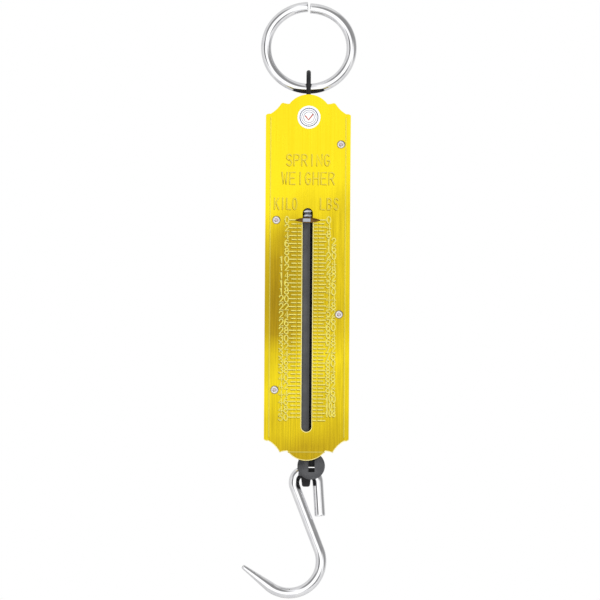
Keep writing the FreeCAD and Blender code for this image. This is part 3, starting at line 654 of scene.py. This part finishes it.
SIX = [ellipse(0.56, 0.5, 0.5, 0.5, 55, 180, 9) + ellipse(0.5, 0.3, 0.44, 0.3, 180, 540, 20)]
GLYPHS = {
    "0": [ellipse(0.5, 0.5, 0.46, 0.5, 90, 450, 24)],
    "1": [[(0.24, 0.8), (0.54, 1), (0.54, 0)]],
    "2": [ellipse(0.5, 0.72, 0.44, 0.28, 170, -38) + [(0.06, 0), (0.96, 0)]],
    "3": [ellipse(0.46, 0.77, 0.40, 0.23, 150, -90) + ellipse(0.46, 0.27, 0.48, 0.27, 90, -150)],
    "4": [[(0.74, 0), (0.74, 1), (0.04, 0.3), (1, 0.3)]],
    "5": [[(0.9, 1), (0.18, 1), (0.12, 0.56)] + ellipse(0.46, 0.33, 0.47, 0.33, 132, -150)],
    "6": SIX,
    "7": [[(0.04, 1), (0.98, 1), (0.36, 0)]],
    "8": [ellipse(0.5, 0.76, 0.37, 0.24, -90, 270, 18), ellipse(0.5, 0.26, 0.46, 0.26, 90, 450, 20)],
    "9": [[(1 - x, 1 - y) for x, y in SIX[0]]],
    "B": [[(0, 0), (0, 1)], [(0, 1)] + ellipse(0.45, 0.76, 0.46, 0.24, 90, -90) + [(0, 0.52)],
          [(0.45, 0.52)] + ellipse(0.45, 0.26, 0.55, 0.26, 90, -90) + [(0, 0)]],
    "E": [[(1, 1), (0, 1), (0, 0), (1, 0)], [(0, 0.52), (0.82, 0.52)]],
    "G": [ellipse(0.52, 0.5, 0.5, 0.5, 48, 345, 20) + [(1, 0.46), (0.6, 0.46)]],
    "H": [[(0, 0), (0, 1)], [(1, 0), (1, 1)], [(0, 0.5), (1, 0.5)]],
    "I": [[(0.5, 0), (0.5, 1)]],
    "K": [[(0, 0), (0, 1)], [(0.95, 1), (0, 0.42)], [(0.32, 0.62), (1, 0)]],
    "L": [[(0, 1), (0, 0), (0.95, 0)]],
    "N": [[(0, 0), (0, 1), (1, 0), (1, 1)]],
    "O": [ellipse(0.5, 0.5, 0.5, 0.5, 90, 450, 24)],
    "P": [[(0, 0), (0, 1)] + ellipse(0.5, 0.75, 0.5, 0.25, 90, -90) + [(0, 0.5)]],
    "R": [[(0, 0), (0, 1)] + ellipse(0.5, 0.75, 0.5, 0.25, 90, -90) + [(0, 0.5)], [(0.45, 0.5), (1, 0)]],
    "S": [ellipse(0.5, 0.755, 0.46, 0.245, 25, 270) + ellipse(0.5, 0.255, 0.48, 0.255, 90, -155)],
    "W": [[(0, 1), (0.25, 0), (0.5, 0.85), (0.75, 0), (1, 1)]],
}


def text_strokes(text, left, top, letter_width, height, pitch):
    """Strokes of a word on the face: x across and z up, in metres."""
    strokes = []
    for index, letter in enumerate(text):
        x0 = left + index * pitch
        for stroke in GLYPHS[letter]:
            strokes.append([(x0 + x * letter_width, top - height + y * height) for x, y in stroke])
    return strokes


def bead(points, faces, stroke, width, height, surface_y):
    """Adds one raised stroke: a low ridge with a rounded section and rounded ends."""
    across = 6
    path = [Vector((x, surface_y, z)) for x, z in stroke]
    half = width / 2
    first = (path[1] - path[0]).normalized()
    last = (path[-1] - path[-2]).normalized()
    rows = []
    cap_steps = 3
    for step in range(cap_steps):
        turn = math.pi / 2 * (step + 0.4) / (cap_steps + 0.4)
        rows.append((path[0] - first * half * math.cos(turn), first, math.sin(turn)))
    for index, point in enumerate(path):
        before = path[max(index - 1, 0)]
        after = path[min(index + 1, len(path) - 1)]
        rows.append((point, (after - before).normalized(), 1.0))
    for step in reversed(range(cap_steps)):
        turn = math.pi / 2 * (step + 0.4) / (cap_steps + 0.4)
        rows.append((path[-1] + last * half * math.cos(turn), last, math.sin(turn)))
    base = len(points)
    sunk = 0.03 * MM
    for centre, along, size in rows:
        side = Vector((along.z, 0, -along.x))
        for step in range(across + 1):
            offset = 2 * step / across - 1
            rise = height * size * math.cos(offset * math.pi / 2) ** 0.8 if abs(offset) < 1 else -sunk
            points.append(centre + side * half * size * offset - Vector((0, rise, 0)))
    for row in range(len(rows) - 1):
        for step in range(across):
            a = base + row * (across + 1) + step
            faces.append((a, a + across + 1, a + across + 2, a + 1))


def raised_marks(name, strokes, width, height, material=None, surface_y=None, slot="yellow_face"):
    points, faces = [], []
    for stroke in strokes:
        bead(points, faces, stroke, width, height, FACE_Y if surface_y is None else surface_y)
    marks = mesh_object(name, points, faces, material or RAISED)
    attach(marks, "case")
    return marks


def tick(x_from, x_to, gap_at, z):
    """One graduation, broken by a short gap."""
    half_gap = math.copysign(TICK_HALF_GAP, x_to)
    return [[(x_from, z), (gap_at - half_gap, z)], [(gap_at + half_gap, z), (x_to, z)]]


def dial_ticks():
    """A tick for each kilo and every second pound; the ones that have a figure are longer."""
    strokes = []
    for kilo in range(FULL_KG + 1):
        height = ZERO_Z - TRAVEL * kilo / FULL_KG
        strokes += tick(-TICK_START, -KILO_REACH[kilo % 2], -TICK_GAP_AT, height)
    for pound in range(0, FULL_LB + 3, 2):
        height = ZERO_Z - TRAVEL * pound * KG_PER_LB / FULL_KG
        strokes += tick(TICK_START, POUND_REACH[pound // 2 % 2], TICK_GAP_AT, height)
    return raised_marks("dial_ticks", strokes, *TICK_STROKE)


def dial_figures():
    height, pitch, width = 3.5 * MM, 2.75 * MM, 2.15 * MM
    edge = 10.0 * MM
    strokes = []
    for kilo in range(0, FULL_KG + 1, 2):
        text = str(kilo)
        left = -edge - width - (len(text) - 1) * pitch
        top = ZERO_Z - TRAVEL * kilo / FULL_KG + height / 2
        strokes += text_strokes(text, left, top, width, height, pitch)
    for pound in range(0, FULL_LB, 4):
        text = str(pound)
        narrow = 2 / 3 if len(text) > 2 else 1
        top = ZERO_Z - TRAVEL * pound * KG_PER_LB / FULL_KG + height / 2
        strokes += text_strokes(text, edge, top, width * narrow, height, pitch * narrow)
    return raised_marks("dial_figures", strokes, *FIGURE_STROKE)


def lettering():
    """The words, with places and sizes in mm; those with no left edge are centred on the face."""
    strokes = []
    for text, left, drop, height, half_width in (("SPRING", None, 31.9, 5.9, 11.4),
                                                 ("WEIGHER", None, 41.4, 6.3, 13.8),
                                                 ("KILO", -17.6, 55.1, 5.9, 5.85),
                                                 ("LBS", 6.7, 55.1, 5.9, 4.7)):
        letter = 2.75 if left is None else 2.15
        pitch = (2 * half_width - letter) / (len(text) - 1)
        start = -half_width if left is None else left
        strokes += text_strokes(text, start * MM, PLATE_TOP - drop * MM, letter * MM, height * MM,
                                pitch * MM)
    return raised_marks("face_lettering", strokes, *LETTER_STROKE, PRESSED)


def frame_witness_lines():
    """Faint ridges where the edges of the case behind press through the sheet."""
    case_low, case_high = (Vector(corner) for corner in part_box("back_case"))
    inset, guide_half = 12.5 * MM, 9.4 * MM
    top, bottom = PLATE_TOP - inset, PLATE_LOW.z + inset
    strokes = [[(x, top), (x, bottom)] for x in (case_low.x, case_high.x)]
    guide_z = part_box("bottom_guide")[0][2] - 0.4 * MM
    strokes.append([(-guide_half, guide_z), (guide_half, guide_z)])
    return raised_marks("witness_lines", strokes, *WITNESS_STROKE, PRESSED)


def cut_rim():
    """A fine burr just inside the edges of the slot and the lower end, below the zero line, painted pale
    as a highlight.
    """
    plate = bmesh.new()
    plate.from_mesh(NODES["face_plate"].data)
    bmesh.ops.remove_doubles(plate, verts=plate.verts, dist=0.002 * MM)
    half_width = RIM_STROKE[0] / 2
    front = Vector((0, -1, 0))
    strokes = []
    for edge in plate.edges:
        facing = [face for face in edge.link_faces if face.normal.dot(front) > 0.99]
        start, end = (vertex.co for vertex in edge.verts)
        at_side = min(abs(start.x), abs(end.x)) > PLATE_HIGH.x - 0.1 * MM
        if len(facing) != 1 or len(edge.link_faces) != 2 or at_side or min(start.z, end.z) > ZERO_Z:
            continue
        inward = (end - start).cross(front).normalized() * half_width
        if inward.dot(facing[0].calc_center_median() - start) < 0:
            inward = -inward
        strokes.append([(point.x + inward.x, min(point.z, ZERO_Z) + inward.z) for point in (start, end)])
    plate.free()
    return raised_marks("cut_rim", strokes, *RIM_STROKE, cut_edge_metal())


# Small pieces

def lathe_rivets():
    """The four rivets: a rolled head with a slightly sunk middle, and the tail behind the sheets."""
    high = Vector(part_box("case_rivets")[1])
    head_radius, head_height = 2.2 * MM, 0.9 * MM
    shank, tail_radius, tail_height = 1.25 * MM, 1.9 * MM, 0.7 * MM
    front = FACE_Y
    tail_front = high.y - tail_height
    roll = 0.75 * MM
    dish = 0.55 * head_height
    on_axis = 1e-7
    profile = [(on_axis, front - dish), (head_radius - 2 * roll, front - dish)]
    for step in range(9):
        turn = math.pi * step / 8
        low = dish if turn < math.pi / 2 else 0.0
        rise = low + (head_height - low) * math.sin(turn)
        profile.append((head_radius - roll * (1 + math.cos(turn)), front - rise))
    profile += [(shank, front), (shank, tail_front), (tail_radius, tail_front), (tail_radius, high.y),
                (on_axis, high.y)]
    points, faces = [], []
    sides = 40
    for x, drop in RIVET_PLACES:
        centre = Vector((x * MM, 0, PLATE_TOP - drop * MM))
        base = len(points)
        for radius, y in profile:
            for side in range(sides):
                turn = 2 * math.pi * side / sides
                points.append(centre + Vector((radius * math.cos(turn), y, radius * math.sin(turn))))
        for row in range(len(profile) - 1):
            for side in range(sides):
                a = base + row * sides + side
                b = base + row * sides + (side + 1) % sides
                faces.append((a, b, b + sides, a + sides))
    rivets = mesh_object("domed_rivets", points, faces, FACE_RIVET)
    smooth_by_angle(rivets, 60)
    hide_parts("case_rivets")
    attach(rivets, "case")
    return rivets


def smooth_by_angle(piece, degrees):
    """Marks edges sharper than the angle, so that only they stay crisp."""
    mesh = piece.data
    mesh.polygons.foreach_set("use_smooth", [True] * len(mesh.polygons))
    mesh.set_sharp_from_angle(angle=math.radians(degrees))


def pointer_piece():
    """Thin spindle with a slight ridge along its length."""
    half = (POINTER_HIGH.x - POINTER_LOW.x) / 2
    height = (POINTER_HIGH.z - POINTER_LOW.z) / 2
    back, front = POINTER_HIGH.y, POINTER_LOW.y
    shoulder, ridge = front + 0.28 * MM, front + 0.02 * MM
    tip = 0.05 * MM
    points, faces = [], []
    steps = 36
    for step in range(steps + 1):
        along = 2 * step / steps - 1
        reach = height * (1 - along ** 2) ** 0.85 + tip
        section = ((back, -reach), (shoulder, -reach), (ridge, 0), (shoulder, reach), (back, reach))
        points += [Vector((half * along, y, ZERO_Z + rise)) for y, rise in section]
    for step in range(steps):
        for column in range(5):
            a = step * 5 + column
            b = step * 5 + (column + 1) % 5
            faces.append((a, a + 5, b + 5, b))
    faces.append((0, 1, 2, 3, 4))
    faces.append(tuple(reversed(range(steps * 5, steps * 5 + 5))))
    spindle = mesh_object("spindle_pointer", points, faces, BRASS)
    smooth_by_angle(spindle, 25)
    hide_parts("pointer")
    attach(spindle, "slide")
    return spindle


def label_piece():
    """Round paper label with a thin lip, and its print."""
    low, high = (Vector(corner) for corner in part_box("inspection_sticker"))
    centre = (low + high) / 2
    radius = (high.x - low.x) / 2
    sides = 96
    lip = 0.05 * MM
    on_axis = 1e-6
    rows = [(on_axis, low.y), (radius - lip, low.y), (radius, low.y + lip), (radius, high.y)]
    turns = [2 * math.pi * side / sides for side in range(sides)]
    points = [Vector((centre.x + reach * math.cos(turn), y, centre.z + reach * math.sin(turn)))
              for reach, y in rows for turn in turns]
    faces = [(row * sides + side, row * sides + (side + 1) % sides,
              (row + 1) * sides + (side + 1) % sides, (row + 1) * sides + side)
             for row in range(len(rows) - 1) for side in range(sides)]
    label = mesh_object("label", points, faces, label_paper())
    smooth_by_angle(label, 40)
    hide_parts("inspection_sticker")
    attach(label, "case")
    label_print(centre, radius, low.y)
    return label


def label_print(centre, radius, surface_y):
    """Plain print: even dashes round two thin circles, and a check mark in the middle."""
    def circle(share, start=0, end=360, steps=60):
        return ellipse(centre.x, centre.z, radius * share, radius * share, start, end, steps)

    dashes = 26
    span = 360 / dashes
    outer = [circle(0.78, dash * span, (dash + 0.6) * span, 3) for dash in range(dashes)]
    grey, red = ink("label_grey", (0.06, 0.09, 0.19)), ink("label_red", (0.55, 0.06, 0.02))
    raised_marks("label_dashes", outer, 0.6 * MM, PRINT_HEIGHT, grey, surface_y, "sticker_white")
    circles = [circle(0.62), circle(0.46)]
    raised_marks("label_circles", circles, 0.3 * MM, PRINT_HEIGHT, grey, surface_y, "sticker_white")
    check = [[(centre.x + x * radius, centre.z + z * radius)
              for x, z in ((-0.30, 0.10), (-0.04, -0.24), (0.32, 0.22))]]
    raised_marks("label_check", check, 0.85 * MM, PRINT_HEIGHT, red, surface_y, "sticker_white")


# CAD nodes that keep their shape

def dress(node_name, material, bevel=None):
    piece = NODES[node_name]
    for index in range(len(piece.material_slots)):
        piece.material_slots[index].material = material
    if bevel:
        softened = piece.modifiers.new("soft_edges", "BEVEL")
        softened.width = bevel
        softened.segments = 2
        softened.limit_method = "ANGLE"
        softened.angle_limit = math.radians(40)


def dress_frame():
    dress("face_plate", YELLOW, PLATE_BEVEL)
    for name in ("back_case", "bottom_guide", "stop_boss"):
        dress(name, BLACK, PRESSING_BEVEL)
    # Painted shade on the yoke under the ring, the lug inside the case and the lug behind the boss's
    # window.
    for name in ("top_yoke", "spring_lug", "hook_lug"):
        dress(name, SHADED_BLACK, PRESSING_BEVEL)
    dress("draw_bar", BAR_BLACK, PRESSING_BEVEL)
    for name in ("spring_lug_rivet", "hook_lug_rivets"):
        dress(name, BLACK)
    dress("shackle", SHADED_BLACK)
    for name in ("spring_anchor_pin", "guide_rivets"):
        dress(name, RIVET)
    dress("boss_pin", BRIGHT)


# Stage. The studio is bright in front and dimmer round the sides and behind, with dark screens in it.
# Directions are in degrees: round from the reader's right, and away from straight in front of the face.
# STUDIO gives its brightness by the second of them.

STUDIO = ((0, 1.22), (45, 1.12), (70, 0.74), (110, 0.66), (180, 0.74))
SCREEN_SOFTNESS = 6
DARK_SCREENS = (  # round, away, angular radius, brightness
    (22, 88, 36, 0.32),
    (50, 46, 30, 0.28),
    (180, 39, 14, 0.13),
    (138, 54, 21, 0.26),
    (318, 40, 15, 0.26),
    (255, 126, 20, 0.30))


def add_floor():
    """A pale disc well below the scale, which hangs."""
    radius, depth, sides = 1.0, 0.6, 96
    height = cad_bounds[0][2] - depth
    turns = [2 * math.pi * side / sides for side in range(sides)]
    points = [Vector((radius * math.cos(turn), radius * math.sin(turn), height)) for turn in turns]
    material, tree, shader = new_material("pale_floor")
    shade = colour_ramp(tree, stretched_noise(tree, (3, 3, 3)),
                        [(0.3, (0.80, 0.80, 0.80)), (0.7, (0.83, 0.83, 0.83))])
    link(tree, shade, shader.inputs["Base Color"])
    shader.inputs["Roughness"].default_value = 0.8
    floor = mesh_object("floor", points, [tuple(range(sides))], material, smooth=False)


def grey_ramp(tree, source, stops, low, high):
    """Brightness over the source's range from low to high."""
    spread = value_range(tree, source, 0.0, 1.0, low, high)
    return colour_ramp(tree, spread, [((place - low) / (high - low), (grey,) * 3)
                                      for place, grey in stops])


def looking_along(tree, direction):
    """Cosine of the angle between the world's rays and a direction."""
    place = tree.nodes.new("ShaderNodeTexCoord")
    facing = tree.nodes.new("ShaderNodeVectorMath")
    facing.operation = "DOT_PRODUCT"
    facing.inputs[1].default_value = direction
    link(tree, place.outputs["Generated"], facing.inputs[0])
    return facing.outputs["Value"]


def add_world():
    """A studio that the camera sees as plain white, and that the metal reflects with its screens."""
    world = bpy.data.worlds.new("studio")
    bpy.context.scene.world = world
    world.use_nodes = True
    tree = world.node_tree
    straight_in_front = looking_along(tree, (0, -1, 0))
    away = math_node(tree, "DEGREES", math_node(tree, "ARCCOSINE", straight_in_front))
    studio = grey_ramp(tree, away, STUDIO, 0, 180)
    for screen_round, screen_away, radius, brightness in DARK_SCREENS:
        around, out = math.radians(screen_round), math.radians(screen_away)
        middle = (math.sin(out) * math.cos(around), -math.cos(out), math.sin(out) * math.sin(around))
        edges = [math.cos(math.radians(radius + side * SCREEN_SOFTNESS)) for side in (1, -1)]
        covered = value_range(tree, looking_along(tree, middle), 0.0, 1.0, *edges)
        studio = blend_colours(tree, covered, studio, (brightness,) * 3)
    seen = tree.nodes.new("ShaderNodeLightPath")
    shown = blend_colours(tree, seen.outputs["Is Camera Ray"], studio, (1.0, 1.0, 1.0))
    link(tree, shown, tree.nodes["Background"].inputs["Color"])


def add_key_light(target):
    """A soft light from above and to the right, which the metal doesn't mirror."""
    place = target + Vector((0.9, -0.9, 0.9))
    side, watts = 0.35, 17.0
    light = bpy.data.lights.new("key", "AREA")
    light.shape = "RECTANGLE"
    light.size, light.size_y = side, side
    light.energy = watts
    lamp = bpy.data.objects.new("key", light)
    lamp.location = place
    lamp.visible_glossy = False
    lamp.rotation_euler = (target - place).to_track_quat("-Z", "Y").to_euler()
    bpy.context.scene.collection.objects.link(lamp)


def add_camera():
    """Straight at the face, with the slight lean that the scale has in the frame."""
    distance = 4.0
    field = 0.3186
    sensor = 36
    lean = math.radians(0.39)
    aim = Vector((-3.8 * MM, 0, PLATE_TOP - 108.9 * MM))
    camera_data = bpy.data.cameras.new("camera")
    camera_data.sensor_width = sensor
    camera_data.lens = sensor * distance / field
    camera_data.dof.use_dof = False
    camera = bpy.data.objects.new("camera", camera_data)
    camera.matrix_world = (Matrix.Translation(aim + Vector((0, -distance, 0)))
                           @ Matrix.Rotation(math.pi / 2, 4, "X") @ Matrix.Rotation(lean, 4, "Z"))
    bpy.context.scene.collection.objects.link(camera)
    bpy.context.scene.camera = camera


add_camera()
ring_piece()
hook_piece()
spring_piece()
dial_ticks()
dial_figures()
lettering()
frame_witness_lines()
cut_rim()
lathe_rivets()
pointer_piece()
label_piece()
dress_frame()
add_floor()
add_world()
add_key_light((PLATE_LOW + PLATE_HIGH) / 2)
bpy.context.scene.view_settings.view_transform = "Standard"
